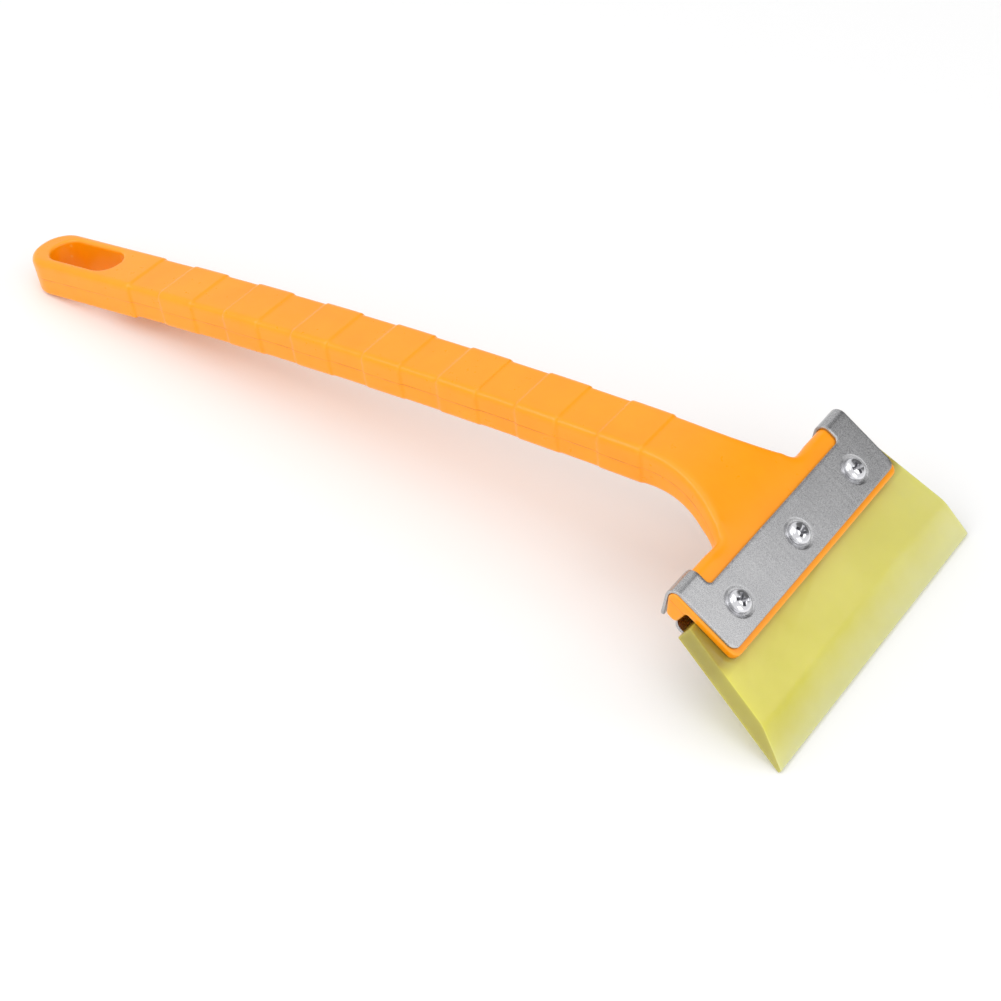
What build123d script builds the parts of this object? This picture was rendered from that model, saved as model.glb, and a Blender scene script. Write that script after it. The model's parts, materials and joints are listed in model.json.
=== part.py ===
from build123d import *
import math
import os

# Floor scraper: a long bowed plastic handle that bends into a wide T-head.  The head and a loose
# steel plate under it clamp a flared polyurethane blade, held by three screws and nuts.
#
# Every piece is first drawn in the blade's own frame, in millimetres:
#   X forward with the working edge's lower corner at 0, Y to the left, Z square to the blade,
#   with the blade's underside at 0.
# The whole tool is then tipped forward by REST_TILT, so that it rests on the blade's working edge
# and the underside of the handle's butt, and shifted so that the origin is the middle of its footprint.

# --- driving dimensions, in millimetres and degrees -------------------------------------------

REST_TILT = 33.16  # how far the blade slopes down from level when the tool lies at rest

EDGE_WIDTH = 127.0  # blade width at the working edge
BLADE_LENGTH = 50.0
BLADE_THICKNESS = 7.0
BLADE_FLARE = 9.6  # how far each side of the blade turns outward
BLADE_DRAFT = 4.0  # how far each side of the blade leans in towards the top
BEVEL_LENGTH = 14.0
EDGE_THICKNESS = 1.6
EDGE_ROUND = 0.5  # rounding along the working edge
BLADE_CORNER = 1.5
BLADE_SLOT = 4.8  # open slots at the rear of the blade, round the screws

FIT_GAP = 0.05  # clearance on each face of the clamped blade
JAW_FRONT = 33.4  # distance from the working edge back to the jaw's front
HEAD_WIDTH = 104.2
JAW_THICKNESS = 3.1
HEAD_CORNER = 3.0
BEAD_CENTRE = (-59.05, 7.65)  # of the rounding at the head's top rear edge, side view
BEAD_RADIUS = 2.5
BEAD_FRONT = 53.6
BEAD_LEAN = 30.0  # how far the bead's rear face leans forward on its way down
BEAD_ROUND = 1.6
BEAD_CLEARANCE = 0.35  # bead's underside above the lower plate

PLATE_THICKNESS = 1.0
PLATE_WIDTH = 103.2
PLATE_FRONT = 35.6
PLATE_CORNER = 3.0
TAB_WIDTH = 11.0
NOTCH_REAR = 54.7  # plate's rear edge between the two hooked tabs
NOTCH_CORNER = 2.0
TAB_SHIFT = 0.15  # clearance between the hooked tabs and the rear of the bead
TAB_LEAN = 24.0  # how far the tabs' straight lips lean forward on their way down
TAB_LIP = 9.6

LOWER_DEPTH = 20.6
LOWER_THICKNESS = 1.2
LOWER_WIDTH = 103.6

SCREW_BACK = 44.5  # distance from the working edge back to the screws
SCREW_PITCH = 36.7
SHANK_RADIUS = 2.0
SHANK_CHAMFER = 0.4
SCREW_HOLE_RADIUS = 2.3
SCREW_LENGTH = 16.0
HEAD_RADIUS = 4.0
HEAD_HEIGHT = 2.4
HEAD_RIM = 0.84  # height of the upright rim of a screw head
HEAD_CROWN_RADIUS = 2.2  # where the screw head's domed top starts to flatten
HEAD_CROWN_HEIGHT = 2.23
SPOT_RADIUS = 5.2  # shallow pressed seat round each screw head
SPOT_DEPTH = 0.3
RECESS_SPAN = 4.4
RECESS_WIDTH = 1.1
RECESS_DEPTH = 1.6
RECESS_FLOOR_SPAN = 1.54
RECESS_FLOOR_WIDTH = 0.77
NUT_ACROSS_FLATS = 7.0
NUT_HEIGHT = 3.2
NUT_BORE_RADIUS = 2.05
NUT_CHAMFER = 0.6

GRIP_WIDTH = 23.0
GRIP_THICKNESS = 14.9
GRIP_EDGE = 2.6  # rounding along the handle's long edges
GRIP_STEP = 0.55  # depth of the recessed grip bands, on the top and sides
GRIP_UNDER_STEP = 0.15  # depth of the recessed grip bands, on the underside
BOW_RADIUS = 2500.0  # of the grip's top face
NECK_RADIUS = 64.0  # of the neck's top face
NECK_ANGLE = 37.4  # from the blade's plane up to the grip at the neck
NECK_TOP = 59.5  # distance from the working edge back to where the neck starts to bend
NECK_THICKNESS = 7.4  # where the neck meets the head
NECK_REAR_WIDTH = 51.5  # where the neck meets the head
NECK_FLARE = 2.2  # how sharply the neck widens towards the head
NECK_THINNING = 1.4  # how soon the neck gets thinner towards the head
NECK_STATIONS = 7
BAND_PITCH = 32.6  # one raised and one recessed band, along the grip
BAND_COUNT = 7
BAND_START = 0.25  # from the end of the neck's bend to the first raised band
BUTT_LENGTH = 58.9  # from the last band's rear step to the handle's end
BUTT_CORNER = 11.0
BUTT_UNDER_EDGE = 1.0  # rounding round the underside of the butt
SLOT_LENGTH = 35.0
SLOT_WIDTH = 14.4
SLOT_FROM_END = 26.1  # slot's centre from the handle's end
SLOT_RIM = 1.0

# --- derived places ---------------------------------------------------------------------------

JAW_UNDERSIDE = BLADE_THICKNESS + FIT_GAP
JAW_TOP = JAW_UNDERSIDE + JAW_THICKNESS
PLATE_TOP = JAW_TOP + PLATE_THICKNESS
SCREW_SEAT = PLATE_TOP - SPOT_DEPTH
LOWER_TOP = -FIT_GAP
LOWER_BOTTOM = LOWER_TOP - LOWER_THICKNESS
SCREW_PLACES = {"left": SCREW_PITCH, "centre": 0.0, "right": -SCREW_PITCH}
WIDE = 400.0  # larger than any piece, for cutting tools
OVERRUN = 8.0  # how far a blank runs past the place where it is trimmed
OVERLAP = 1.0  # how far two stretches of the handle run into each other
TOUCH = 0.1  # how near an edge lies to the place that it is picked out by


def half_plane_point(radius, centre, angle):
    """Point at an angle from straight up, turning towards the butt, on an arc in the side view."""
    turn = math.radians(angle)
    return (centre[0] - radius * math.sin(turn), centre[1] + radius * math.cos(turn))


NECK_CENTRE = (-NECK_TOP, JAW_TOP - NECK_RADIUS)
NECK_END = half_plane_point(NECK_RADIUS, NECK_CENTRE, NECK_ANGLE)
BOW_CENTRE = (
    NECK_END[0] + BOW_RADIUS * math.sin(math.radians(NECK_ANGLE)),
    NECK_END[1] - BOW_RADIUS * math.cos(math.radians(NECK_ANGLE)),
)
BUTT_START = BAND_START + BAND_COUNT * BAND_PITCH


def bow_angle(distance):
    """Slope of the grip at a distance along its top face from the end of the neck's bend."""
    return NECK_ANGLE + math.degrees(distance / BOW_RADIUS)


def bow_point(distance, depth=0.0):
    """Side-view point on the grip at a distance along its top face and a depth below it."""
    return half_plane_point(BOW_RADIUS - depth, BOW_CENTRE, bow_angle(distance))


def arc(radius, centre, start, end):
    """Side-view arc from one angle to another, both from straight up, turning towards the butt."""
    angles = (start, (start + end) / 2, end)
    return ThreePointArc(*[half_plane_point(radius, centre, angle) for angle in angles])


def across(lines, width):
    """Solid from a closed chain of side-view lines, spread evenly over a width in Y."""
    face = make_face(Plane.XZ * (Curve() + lines))
    return extrude(face, amount=width / 2, both=True)


def section(width, thickness, top_point, slope, edge):
    """Rounded rectangle square to the handle, hanging below a point of its top face."""
    turn = math.radians(slope)
    along = (-math.cos(turn), 0, -math.sin(turn))
    plane = Plane(origin=(top_point[0], 0, top_point[1]), x_dir=(0, 1, 0), z_dir=along)
    return plane * Pos(0, thickness / 2) * RectangleRounded(width, thickness, edge)


def upright_hole(place, radius):
    """Long cutting cylinder, square to the blade, at a screw's sideways place."""
    return Pos(-SCREW_BACK, place, 0) * Cylinder(radius, WIDE)


# --- handle -----------------------------------------------------------------------------------


def grip_length(inset, under_inset, start, end):
    """Stretch of the bowed grip between two distances from the neck, drawn in by two insets."""
    outline = section(
        GRIP_WIDTH - 2 * inset,
        GRIP_THICKNESS - inset - under_inset,
        bow_point(start, inset),
        bow_angle(start),
        GRIP_EDGE - inset,
    )
    hinge = Axis((BOW_CENTRE[0], 0, BOW_CENTRE[1]), (0, -1, 0))
    return revolve(outline, hinge, math.degrees((end - start) / BOW_RADIUS))


def neck_solid():
    """Neck that bends down from the grip to the head while it widens and thins."""
    outlines = []
    for station in range(NECK_STATIONS + 1):
        share = station / NECK_STATIONS
        angle = NECK_ANGLE * (1 - share)
        width = (GRIP_WIDTH - 2 * GRIP_STEP) + (NECK_REAR_WIDTH - GRIP_WIDTH) * share**NECK_FLARE
        thick = GRIP_THICKNESS - GRIP_STEP - GRIP_UNDER_STEP
        thick += (NECK_THICKNESS - thick) * share**NECK_THINNING
        top = half_plane_point(NECK_RADIUS - GRIP_STEP * (1 - share), NECK_CENTRE, angle)
        outlines.append(section(width, thick, top, angle, GRIP_EDGE - GRIP_STEP))
    return loft(outlines)


def head_solid():
    """Wide jaw with the rounded bead along its rear edge."""
    centre_x, centre_z = BEAD_CENTRE
    lean = math.radians(BEAD_LEAN)
    rear = arc(BEAD_RADIUS, BEAD_CENTRE, 0, 90 + BEAD_LEAN)
    foot = LOWER_TOP + BEAD_CLEARANCE
    rear_end = rear @ 1
    rear_foot = rear_end.X + (rear_end.Y - foot) * math.tan(lean)
    outline = [
        Line((-JAW_FRONT, JAW_TOP), (centre_x, JAW_TOP)),
        rear,
        Line((rear_end.X, rear_end.Y), (rear_foot, foot)),
        Line((rear_foot, foot), (-BEAD_FRONT, foot)),
        Line((-BEAD_FRONT, foot), (-BEAD_FRONT, JAW_UNDERSIDE)),
        Line((-BEAD_FRONT, JAW_UNDERSIDE), (-JAW_FRONT, JAW_UNDERSIDE)),
        Line((-JAW_FRONT, JAW_UNDERSIDE), (-JAW_FRONT, JAW_TOP)),
    ]
    body = across(outline, HEAD_WIDTH)
    across_edges = body.edges().filter_by(Axis.Y)
    foot_edges = [edge for edge in across_edges if edge.center().Z < foot + TOUCH]
    body = fillet(foot_edges, BEAD_ROUND)
    front_corners = body.edges().filter_by(Axis.Z).group_by(Axis.X)[-1]
    return fillet(front_corners, HEAD_CORNER)


def butt_solid():
    """Straight end of the handle with the hanging slot through it."""
    outline = Rectangle(BUTT_LENGTH + OVERRUN, GRIP_WIDTH)
    outline = fillet(outline.vertices().group_by(Axis.X)[0], BUTT_CORNER)
    block = extrude(outline, amount=-GRIP_THICKNESS)
    block = fillet(block.faces().sort_by(Axis.Z)[-1].edges(), GRIP_EDGE)
    block = fillet(block.faces().sort_by(Axis.Z)[0].edges(), BUTT_UNDER_EDGE)
    block = Pos((OVERRUN - BUTT_LENGTH) / 2, 0, 0) * block
    block -= Pos(WIDE / 2, 0, 0) * Box(WIDE, WIDE, WIDE)
    slot_middle = SLOT_FROM_END - BUTT_LENGTH
    half = GRIP_THICKNESS / 2
    slot = extrude(SlotOverall(SLOT_LENGTH, SLOT_WIDTH), amount=-2 * GRIP_THICKNESS)
    block -= Pos(slot_middle, 0, half) * slot
    near_slot = [
        edge
        for edge in block.edges()
        if abs(edge.center().Y) < SLOT_WIDTH / 2 + TOUCH
        and abs(edge.center().X - slot_middle) < SLOT_LENGTH / 2
    ]
    rim_edges = [edge for edge in near_slot if abs(abs(edge.center().Z + half) - half) < TOUCH]
    block = fillet(rim_edges, SLOT_RIM)
    end = bow_point(BUTT_START)
    return Pos(end[0], 0, end[1]) * Rot(0, -bow_angle(BUTT_START), 0) * block


def handle_solid():
    """Grip with its raised bands, neck, head and butt, as one moulding."""
    body = grip_length(GRIP_STEP, GRIP_UNDER_STEP, 0, BUTT_START + OVERLAP)
    for band in range(BAND_COUNT):
        start = BAND_START + band * BAND_PITCH
        body += grip_length(0, 0, start, start + BAND_PITCH / 2)
    body += butt_solid()
    body += neck_solid() + head_solid()
    for place in SCREW_PLACES.values():
        body -= upright_hole(place, SCREW_HOLE_RADIUS)
    return body


# --- clamp plates -----------------------------------------------------------------------------


def top_plate_solid():
    """Steel plate on the jaw, cut away at the rear between two tabs that hook over the bead."""
    centre = (BEAD_CENTRE[0] - TAB_SHIFT, BEAD_CENTRE[1])
    lean = math.radians(TAB_LEAN)
    inner = arc(BEAD_RADIUS, centre, 0, 90 + TAB_LEAN)
    outer = arc(BEAD_RADIUS + PLATE_THICKNESS, centre, 90 + TAB_LEAN, 0)
    drop = Vector(math.sin(lean), -math.cos(lean)) * TAB_LIP
    inner_end = inner @ 1
    outer_end = outer @ 0
    outline = [
        Line((-PLATE_FRONT, PLATE_TOP), (-PLATE_FRONT, JAW_TOP)),
        Line((-PLATE_FRONT, JAW_TOP), inner @ 0),
        inner,
        Line(inner_end, inner_end + drop),
        Line(inner_end + drop, outer_end + drop),
        Line(outer_end + drop, outer_end),
        outer,
        Line(outer @ 1, (-PLATE_FRONT, PLATE_TOP)),
    ]
    body = across(outline, PLATE_WIDTH)
    front_corners = body.edges().filter_by(Axis.Z).group_by(Axis.X)[-1]
    body = fillet(front_corners, PLATE_CORNER)
    notch = Rectangle(2 * NOTCH_REAR, PLATE_WIDTH - 2 * TAB_WIDTH)
    notch = fillet(notch.vertices().group_by(Axis.X)[-1], NOTCH_CORNER)
    body -= Pos(-2 * NOTCH_REAR, 0, -WIDE / 2) * extrude(notch, amount=WIDE)
    for place in SCREW_PLACES.values():
        body -= upright_hole(place, SCREW_HOLE_RADIUS)
        body -= Pos(-SCREW_BACK, place, PLATE_TOP) * Cylinder(SPOT_RADIUS, 2 * SPOT_DEPTH)
    return body


def lower_plate_solid():
    """Loose steel strip under the blade and the bead."""
    outline = RectangleRounded(LOWER_DEPTH, LOWER_WIDTH, PLATE_CORNER)
    body = Pos(-JAW_FRONT - LOWER_DEPTH / 2, 0, LOWER_TOP) * extrude(outline, amount=-LOWER_THICKNESS)
    for place in SCREW_PLACES.values():
        body -= upright_hole(place, SCREW_HOLE_RADIUS)
    return body


# --- blade ------------------------------------------------------------------------------------


def front_edges(body):
    """Edges that lie in the plane of the blade's front face."""
    return [edge for edge in body.edges() if abs(edge.center().X) < TOUCH]


def blade_solid():
    """Flared slab with a long bevel to a thin working edge and open slots for the screws."""
    bevel_top = (-BEVEL_LENGTH, BLADE_THICKNESS)
    outline = [
        Line((-BLADE_LENGTH, 0), (0, 0)),
        Line((0, 0), (0, EDGE_THICKNESS)),
        Line((0, EDGE_THICKNESS), bevel_top),
        Line(bevel_top, (-BLADE_LENGTH, BLADE_THICKNESS)),
        Line((-BLADE_LENGTH, BLADE_THICKNESS), (-BLADE_LENGTH, 0)),
    ]
    body = across(outline, 2 * EDGE_WIDTH)
    half = EDGE_WIDTH / 2
    spread = math.tan(math.radians(BLADE_FLARE))
    front_half = half + OVERRUN * spread
    rear_half = half - (BLADE_LENGTH + OVERRUN) * spread
    plan = Polyline(
        (OVERRUN, front_half),
        (-BLADE_LENGTH - OVERRUN, rear_half),
        (-BLADE_LENGTH - OVERRUN, -rear_half),
        (OVERRUN, -front_half),
        close=True,
    )
    body &= extrude(make_face(plan), amount=BLADE_THICKNESS, taper=BLADE_DRAFT)
    tip_corners = [edge for edge in front_edges(body) if edge.length < 2 * EDGE_THICKNESS]
    body = fillet(tip_corners, BLADE_CORNER)
    working_edge = [edge for edge in front_edges(body) if edge.length > EDGE_WIDTH / 2]
    body = fillet(working_edge, EDGE_ROUND)
    slot = Pos(-WIDE / 2, 0, 0) * Box(WIDE, BLADE_SLOT, WIDE) + Cylinder(BLADE_SLOT / 2, WIDE)
    for place in SCREW_PLACES.values():
        body -= Pos(-SCREW_BACK, place, 0) * slot
    return body


# --- screws and nuts --------------------------------------------------------------------------


def screw_solid():
    """Pan-head screw with a cross recess, its head's underside at 0 and its shank downward."""
    tip_radius = SHANK_RADIUS - SHANK_CHAMFER
    tip_top = SHANK_CHAMFER - SCREW_LENGTH
    rim = (HEAD_RADIUS, HEAD_RIM)
    crown = (HEAD_CROWN_RADIUS, HEAD_CROWN_HEIGHT)
    outline = [
        Line((0, -SCREW_LENGTH), (tip_radius, -SCREW_LENGTH)),
        Line((tip_radius, -SCREW_LENGTH), (SHANK_RADIUS, tip_top)),
        Line((SHANK_RADIUS, tip_top), (SHANK_RADIUS, 0)),
        Line((SHANK_RADIUS, 0), (HEAD_RADIUS, 0)),
        Line((HEAD_RADIUS, 0), rim),
        Spline([rim, crown, (0, HEAD_HEIGHT)], tangents=[(0, 1), (-1, 0)]),
        Line((0, HEAD_HEIGHT), (0, -SCREW_LENGTH)),
    ]
    body = revolve(make_face(Plane.XZ * (Curve() + outline)), Axis.Z)
    for turn in (0, 90):
        top = Pos(0, 0, HEAD_HEIGHT) * Rectangle(RECESS_SPAN, RECESS_WIDTH)
        floor = Pos(0, 0, HEAD_HEIGHT - RECESS_DEPTH) * Rectangle(RECESS_FLOOR_SPAN, RECESS_FLOOR_WIDTH)
        body -= Rot(0, 0, turn) * loft([floor, top])
    return body


def nut_solid():
    """Hexagon nut, its top face at 0, with both rims chamfered."""
    body = extrude(RegularPolygon(NUT_ACROSS_FLATS / 2, 6, major_radius=False), amount=-NUT_HEIGHT)
    corner = NUT_ACROSS_FLATS / math.sqrt(3)
    rounding = Cylinder(corner, NUT_HEIGHT)
    rounding = chamfer(rounding.edges(), NUT_CHAMFER / 2, NUT_CHAMFER)
    body &= Pos(0, 0, -NUT_HEIGHT / 2) * rounding
    return body - Cylinder(NUT_BORE_RADIUS, WIDE)


# --- the tool at rest -------------------------------------------------------------------------

pieces = {
    "handle": handle_solid(),
    "top_clamp_plate": top_plate_solid(),
    "lower_clamp_plate": lower_plate_solid(),
    "blade": blade_solid(),
}
for side, place in SCREW_PLACES.items():
    pieces["screw_" + side] = Pos(-SCREW_BACK, place, SCREW_SEAT) * screw_solid()
    pieces["nut_" + side] = Pos(-SCREW_BACK, place, LOWER_BOTTOM) * nut_solid()

tilt = math.radians(REST_TILT)
edge_lift = EDGE_ROUND * (math.sin(tilt) + math.cos(tilt) - 1)
pieces = {name: Pos(0, 0, -edge_lift) * Rot(0, REST_TILT, 0) * piece for name, piece in pieces.items()}

# The butt's underside has a small flat, level with the working edge, that the handle rests on.
below_rest = Pos(0, 0, -WIDE / 2) * Box(4 * WIDE, WIDE, WIDE)
pieces["handle"] -= below_rest

boxes = [piece.bounding_box() for piece in pieces.values()]
rear_end = min(box.min.X for box in boxes)
front_end = max(box.max.X for box in boxes)
middle = (rear_end + front_end) / 2

os.makedirs("parts", exist_ok=True)
for name, piece in pieces.items():
    export_step(Pos(-middle, 0, 0) * piece, "parts/" + name + ".step")
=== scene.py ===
import bmesh
import bpy
import json
import math
import numpy as np
from mathutils import Matrix, Vector, geometry


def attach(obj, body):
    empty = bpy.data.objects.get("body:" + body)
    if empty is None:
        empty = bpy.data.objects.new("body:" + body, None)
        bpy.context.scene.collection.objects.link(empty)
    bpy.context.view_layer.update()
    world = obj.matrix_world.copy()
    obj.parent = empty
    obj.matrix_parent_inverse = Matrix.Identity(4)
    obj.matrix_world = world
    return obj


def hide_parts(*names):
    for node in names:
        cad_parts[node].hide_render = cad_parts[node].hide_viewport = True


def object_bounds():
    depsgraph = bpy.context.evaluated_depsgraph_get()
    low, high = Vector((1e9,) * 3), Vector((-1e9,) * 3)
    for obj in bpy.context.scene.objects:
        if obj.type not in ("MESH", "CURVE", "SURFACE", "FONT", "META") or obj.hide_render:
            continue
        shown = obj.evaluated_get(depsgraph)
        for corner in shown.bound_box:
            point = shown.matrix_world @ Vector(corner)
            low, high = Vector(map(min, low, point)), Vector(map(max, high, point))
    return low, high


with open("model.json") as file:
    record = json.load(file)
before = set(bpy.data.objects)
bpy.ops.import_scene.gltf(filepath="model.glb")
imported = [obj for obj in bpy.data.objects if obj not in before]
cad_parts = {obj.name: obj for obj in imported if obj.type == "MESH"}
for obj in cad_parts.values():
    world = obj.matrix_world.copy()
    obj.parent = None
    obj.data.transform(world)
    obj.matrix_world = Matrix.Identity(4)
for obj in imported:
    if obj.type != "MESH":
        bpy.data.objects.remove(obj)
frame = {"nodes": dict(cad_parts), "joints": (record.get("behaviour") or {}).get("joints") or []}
cad_low, cad_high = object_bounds()

# Floor scraper.  Lengths below are in millimetres in the blade's frame: s forward from the working
# edge, y to the left, h square to the blade from its underside.  MM turns them into metres.

MM = 0.001
SCREW_BACK = 44.5  # how far the screws stand behind the working edge
SCREW_SEAT = 10.85  # height of the undersides of their heads
SCREW_PITCH = 36.7

BLADE_LENGTH = 50.0
BLADE_THICKNESS = 7.0
EDGE_WIDTH = 127.0
BLADE_FLARE = 9.6  # degrees by which each side turns outward towards the working edge
BLADE_DRAFT = 4.0  # degrees by which each side leans in towards the top
BEVEL_LENGTH = 14.0
EDGE_THICKNESS = 1.6
BLADE_SLOT = 4.8
BLADE_ROUND = 0.35
BLADE_ROUND_ANGLE = 20.0  # edges sharper than this, in degrees, are rounded
CREASE_LENGTH = 2.2  # how far the crease at the bevel's top is rounded, each way
CREASE_POINTS = 6

PLATE_TOP = 11.15
PLATE_THICKNESS = 1.0
PLATE_WIDTH = 103.2
PLATE_FRONT = 35.6
PLATE_CORNER = 3.0
TAB_WIDTH = 11.0
TAB_CORNER = 1.2
NOTCH_REAR = 54.7
NOTCH_CORNER = 2.0
TAB_BEND = (-59.2, 7.65)  # middle of the bend, as s and h
TAB_RADIUS = 3.5
TAB_LEAN = 24.0  # degrees by which a tab's lip turns forward of straight down
TAB_LIP = 9.6  # straight length of a tab past its bend
TAB_FLAT = -TAB_BEND[0] - PLATE_FRONT
TAB_ARC = TAB_RADIUS * math.radians(90 + TAB_LEAN)
DISH_DEPTH = 0.3
DISH_RIM = 5.6  # radius where a pressed dish begins
DISH_SLOPE = 1.1  # how far in from its rim a dish reaches its full depth
HOLE_RADIUS = 2.3

LOWER_DEPTH = 20.6
LOWER_WIDTH = 103.6
LOWER_THICKNESS = 1.2
LOWER_TOP = -0.05
JAW_FRONT = 33.4

GRIP_THICKNESS = 14.9
BOW_RADIUS = 2500.0
NECK_RADIUS = 64.0
NECK_ANGLE = 37.4
NECK_TOP = 59.5
NECK_THICKNESS = 7.4
NECK_THINNING = 1.4  # power by which the neck thins along its bend
JAW_TOP = 10.15
NECK_CENTRE = np.array((-NECK_TOP, JAW_TOP - NECK_RADIUS))

CORNER_POINTS = 8  # steps round a corner, unless a finer or coarser one is named
SHEET_FRONT_POINTS = 10
TAB_CORNER_POINTS = 4
SLOT_POINTS = 20
HOLE_POINTS = 48
CLEARANCE = 1.0  # how far a cutter reaches past the surface it cuts
SMOOTH_ANGLE = 35.0  # edges flatter than this, in degrees, are shaded smooth

joints = {joint["name"]: joint for joint in frame["joints"]}
UP = Vector(joints["screw_centre_turn"]["axis"])
FORWARD = Vector(joints["blade_slide"]["axis"])
LEFT = UP.cross(FORWARD)
CORNER = Vector(joints["screw_centre_turn"]["pos_m"]) + (FORWARD * SCREW_BACK - UP * SCREW_SEAT) * MM
SCREWS = {"left": SCREW_PITCH, "centre": 0.0, "right": -SCREW_PITCH}
TURN_TO_ROW = Matrix((FORWARD, LEFT, UP)).transposed().to_4x4()
TO_ROW = Matrix.Translation(CORNER) @ TURN_TO_ROW @ Matrix.Scale(MM, 4)


# --- mesh helpers -----------------------------------------------------------------------------


def link(name, mesh, material):
    """New object from a mesh, with one material or none."""
    piece = bpy.data.objects.new(name, mesh)
    bpy.context.scene.collection.objects.link(piece)
    mesh.materials.clear()
    if material:
        mesh.materials.append(material)
    return piece


def new_mesh(name, points, faces):
    """Mesh from points and from faces that name them by number."""
    mesh = bpy.data.meshes.new(name)
    mesh.from_pydata([tuple(point) for point in points], [], faces)
    mesh.validate()
    return mesh


def modify(piece, kind, **settings):
    """Adds a modifier of a kind with its settings."""
    modifier = piece.modifiers.new(kind.title(), kind)
    for key, value in settings.items():
        setattr(modifier, key, value)


def apply_all(piece):
    """Bakes the piece's modifiers into its own mesh."""
    bpy.context.view_layer.update()
    shown = piece.evaluated_get(bpy.context.evaluated_depsgraph_get())
    result = bpy.data.meshes.new_from_object(shown)
    piece.modifiers.clear()
    piece.data = result


def cut(piece, cutters):
    """Cuts each cutter out of the piece, and removes the cutters."""
    for cutter in cutters:
        modify(piece, "BOOLEAN", operation="DIFFERENCE", solver="EXACT", object=cutter)
    apply_all(piece)
    for cutter in cutters:
        bpy.data.objects.remove(cutter)


def round_edges(piece, width, segments, degrees):
    """Rounds the edges that turn by more than an angle in degrees."""
    angle = math.radians(degrees)
    modify(piece, "BEVEL", width=width, segments=segments, limit_method="ANGLE", angle_limit=angle)
    apply_all(piece)


def shade_smooth(piece, degrees):
    """Shades the piece smooth, but for edges that turn by more than an angle in degrees."""
    piece.data.polygons.foreach_set("use_smooth", [True] * len(piece.data.polygons))
    piece.data.set_sharp_from_angle(angle=math.radians(degrees))


def prism(name, outline, low, high, material):
    """Closed prism over an outline of (s, y) points, from h low to h high."""
    count = len(outline)
    points = [(s, y, low) for s, y in outline] + [(s, y, high) for s, y in outline]
    faces = [list(range(count))[::-1], list(range(count, 2 * count))]
    faces += [(i, (i + 1) % count, count + (i + 1) % count, count + i) for i in range(count)]
    return link(name, new_mesh(name, points, faces), material)


def on_circle(centre, radius, turn):
    """Point of a circle, at a turn in radians."""
    return (centre[0] + radius * math.cos(turn), centre[1] + radius * math.sin(turn))


def rounded_corner(centre, radius, start, end, steps):
    """Points along an arc about a centre, with its angles in degrees."""
    turns = [math.radians(start + (end - start) * i / steps) for i in range(steps + 1)]
    return [on_circle(centre, radius, turn) for turn in turns]


def circle(centre, radius, count):
    """Points round a whole circle."""
    return [on_circle(centre, radius, 2 * math.pi * i / count) for i in range(count)]


def settle(piece, body, slot, *nodes):
    """Puts a piece drawn in the blade's frame where the CAD model lies, on its body."""
    piece.data.transform(TO_ROW)
    piece.data.update()
    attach(piece, body)
    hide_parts(*nodes)
    return piece


# --- material helpers -------------------------------------------------------------------------

# The colour sockets of a Mix node share their names with others, so they are taken by place.
MIX_FACTOR = 0
MIX_FIRST = 6
MIX_SECOND = 7
MIX_RESULT = 2


class Shader:
    """A material's node tree with short calls for the nodes used here."""

    def __init__(self, name):
        self.material = bpy.data.materials.new(name)
        self.material.use_nodes = True
        self.tree = self.material.node_tree
        self.surface = self.tree.nodes["Principled BSDF"]
        self.coordinates = self.add("ShaderNodeTexCoord").outputs["Object"]

    def add(self, kind, inputs=None, **settings):
        """New node with its settings and inputs."""
        made = self.tree.nodes.new(kind)
        for key, value in settings.items():
            setattr(made, key, value)
        for key, value in (inputs or {}).items():
            self.put(made.inputs[key], value)
        return made

    def put(self, socket, value):
        """Links a socket to another, or sets its value."""
        if isinstance(value, bpy.types.NodeSocket):
            self.tree.links.new(value, socket)
        else:
            socket.default_value = value

    def set(self, **values):
        """Sets the surface's own sockets, with _ for a space in a name."""
        for key, value in values.items():
            self.put(self.surface.inputs[key.replace("_", " ")], value)

    def maths(self, operation, *values):
        """One step of arithmetic."""
        made = self.add("ShaderNodeMath", operation=operation)
        for socket, value in zip(made.inputs, values):
            self.put(socket, value)
        return made.outputs[0]

    def along(self, axis):
        """Place along an axis, in metres."""
        inputs = {0: self.coordinates, 1: axis}
        return self.add("ShaderNodeVectorMath", inputs, operation="DOT_PRODUCT").outputs["Value"]

    def noise(self, scale, detail=3.0, roughness=0.55, stretch=None, distortion=0.0):
        """Noise from 0 to 1, with features of about 1/scale metres.

        A stretch scales it along the blade's own axes.
        """
        where = self.coordinates
        if stretch:
            tilt = math.atan2(-FORWARD.z, FORWARD.x)
            turned = self.add("ShaderNodeMapping", {"Vector": where, "Rotation": (0, -tilt, 0)})
            scaled = {"Vector": turned.outputs[0], "Scale": stretch}
            where = self.add("ShaderNodeMapping", scaled).outputs[0]
        inputs = {"Vector": where, "Scale": scale, "Detail": detail, "Roughness": roughness}
        return self.add("ShaderNodeTexNoise", {**inputs, "Distortion": distortion}).outputs["Fac"]

    def ramp(self, value, low, high, out_low=0.0, out_high=1.0):
        """Runs from out_low to out_high as the value runs from low to high."""
        names = ("From Min", "From Max", "To Min", "To Max")
        inputs = {"Value": value, **dict(zip(names, (low, high, out_low, out_high)))}
        made = self.add("ShaderNodeMapRange", inputs, clamp=True)
        return made.outputs["Result"]

    def blend(self, factor, first, second):
        """Mixes two colours."""
        made = self.add("ShaderNodeMix", data_type="RGBA", blend_type="MIX")
        self.put(made.inputs[MIX_FACTOR], factor)
        self.put(made.inputs[MIX_FIRST], first)
        self.put(made.inputs[MIX_SECOND], second)
        return made.outputs[MIX_RESULT]

    def bump(self, height, distance, strength, onto=None):
        """Relief from a height, with its distance in metres, on top of another relief or none."""
        inputs = {"Height": height, "Distance": distance, "Strength": strength}
        if onto:
            inputs["Normal"] = onto
        return self.add("ShaderNodeBump", inputs).outputs[0]


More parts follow.
